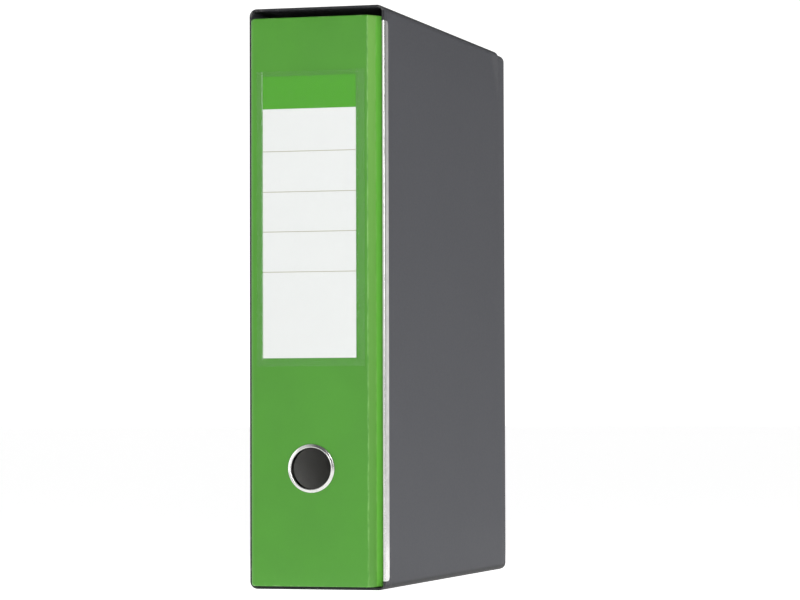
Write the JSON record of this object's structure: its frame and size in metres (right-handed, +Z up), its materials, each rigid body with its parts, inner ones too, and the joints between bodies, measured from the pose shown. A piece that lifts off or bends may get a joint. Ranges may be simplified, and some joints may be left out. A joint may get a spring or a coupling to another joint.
{
  "type": "lever arch file",
  "caption": "Tall lever arch file with a green laminated spine, label pocket and finger ring, standing in an open-fronted grey board slipcase.",
  "frame": {"origin": "middle of the slipcase's underside", "axes": "+Z up along the file's height, -Y out of the slipcase's open front where the spine shows, +X towards the front cover"},
  "size_m": [0.0852, 0.2953, 0.35],
  "materials": {
    "case_board": "dark-grey paper-covered board, matt",
    "cover_wrap": "green laminate, satin",
    "grey_board": "raw grey board, matt",
    "lining": "off-white paper, matt",
    "label_card": "white card with a green head band, matt",
    "pocket_film": "clear welded film, glossy",
    "nickel": "nickel plate, bright",
    "spring_steel": "steel, satin",
    "black_plastic": "moulded plastic, matt"
  },
  "bodies": {
    "slipcase": {"case_wrap": "case_board", "case_bottom": "case_board", "case_top": "case_board", "case_rear_flap": "case_board", "case_edge_guard": "nickel"},
    "file": {"cover_wrap": "cover_wrap", "spine_board": "grey_board", "back_cover_board": "grey_board", "front_cover_board": "grey_board", "inner_lining": "lining", "finger_ring": "nickel", "finger_ring_washer": "nickel", "label_card": "label_card", "label_pocket": "pocket_film", "mechanism_plate": "nickel", "rivet_1": "nickel", "rivet_2": "nickel", "rivet_3": "nickel", "rivet_4": "nickel", "post_lower": "nickel", "post_upper": "nickel", "arch_saddle_lower": "nickel", "arch_saddle_upper": "nickel", "lever_bracket": "nickel", "lever_pin": "spring_steel", "leaf_spring": "spring_steel"},
    "lever": {"lever": "nickel", "lever_grip": "black_plastic", "roller_pin": "spring_steel"},
    "roller": {"lever_roller": "spring_steel"},
    "arch": {"arch_wire": "nickel"},
    "compressor": {"compressor_bar": "nickel", "compressor_slider_lower": "black_plastic", "compressor_slider_upper": "black_plastic"}
  },
  "joints": [
    {"name": "file_slide", "type": "slide", "parent": "slipcase", "child": "file", "axis": [0, -1, 0], "range_m": [0, 0.3]},
    {"name": "lever_lift", "type": "hinge", "parent": "file", "child": "lever", "pos_m": [-0.02795, -0.0883, 0.1728], "axis": [0, 0, 1], "range_deg": [0, 70]},
    {"name": "arch_swing", "type": "hinge", "parent": "file", "child": "arch", "pos_m": [-0.03295, -0.1213, 0.1728], "axis": [0, 0, -1], "range_deg": [0, 31.5]},
    {"name": "roller_spin", "type": "hinge", "parent": "lever", "child": "roller", "pos_m": [-0.02354, -0.10479, 0.1728], "axis": [0, 0, 1], "continuous": true},
    {"name": "compressor_slide", "type": "slide", "parent": "file", "child": "compressor", "axis": [1, 0, 0], "range_m": [0, 0.024]}
  ],
  "couplings": [
    {"joint": "arch_swing", "follows": "lever_lift", "ratio": 0.45}
  ]
}
